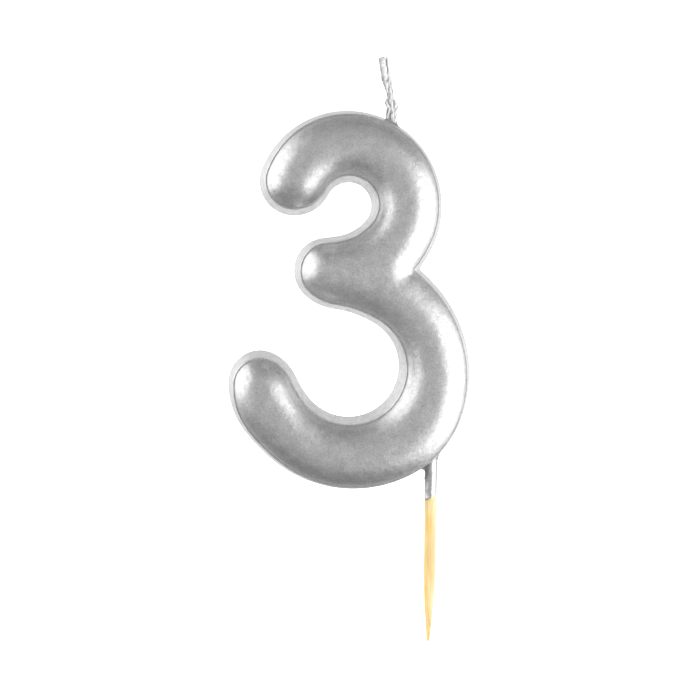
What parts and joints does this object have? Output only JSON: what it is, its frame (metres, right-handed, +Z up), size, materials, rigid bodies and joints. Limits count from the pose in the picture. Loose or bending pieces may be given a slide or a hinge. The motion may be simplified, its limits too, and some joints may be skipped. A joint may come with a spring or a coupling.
{
  "type": "number birthday candle",
  "caption": "Metallic silver numeral candle in the shape of a three, domed front and flat back, braided wick and pointed wooden cake pick.",
  "frame": {"origin": "on the pick's axis, level with the number's lowest point, where the top of the cake comes when the pick is pushed home", "axes": "+Z up along the pick, +X to the reader's right, -Y towards the reader: the domed front faces -Y and the flat back faces +Y"},
  "size_m": [0.0448, 0.0101, 0.1081],
  "materials": {
    "wax": "off-white paraffin wax, satin",
    "silver_lacquer": "satin metallic silver lacquer",
    "wick_cotton": "braided cotton stiffened with silver lacquer",
    "pick_wood": "bare pale birch or bamboo, fine straight grain"
  },
  "bodies": {
    "pick": {"pick": "pick_wood", "pick_sleeve": "silver_lacquer"},
    "candle": {"wax_body": "wax", "silver_coat": "silver_lacquer", "wick_ply_left": "wick_cotton", "wick_ply_middle": "wick_cotton", "wick_ply_right": "wick_cotton", "wick_bead": "silver_lacquer", "pick_bead": "silver_lacquer"}
  },
  "joints": [
    {"name": "pick_pull", "type": "slide", "parent": "pick", "child": "candle", "axis": [0, 0, 1], "range_m": [0, 0.028]}
  ]
}
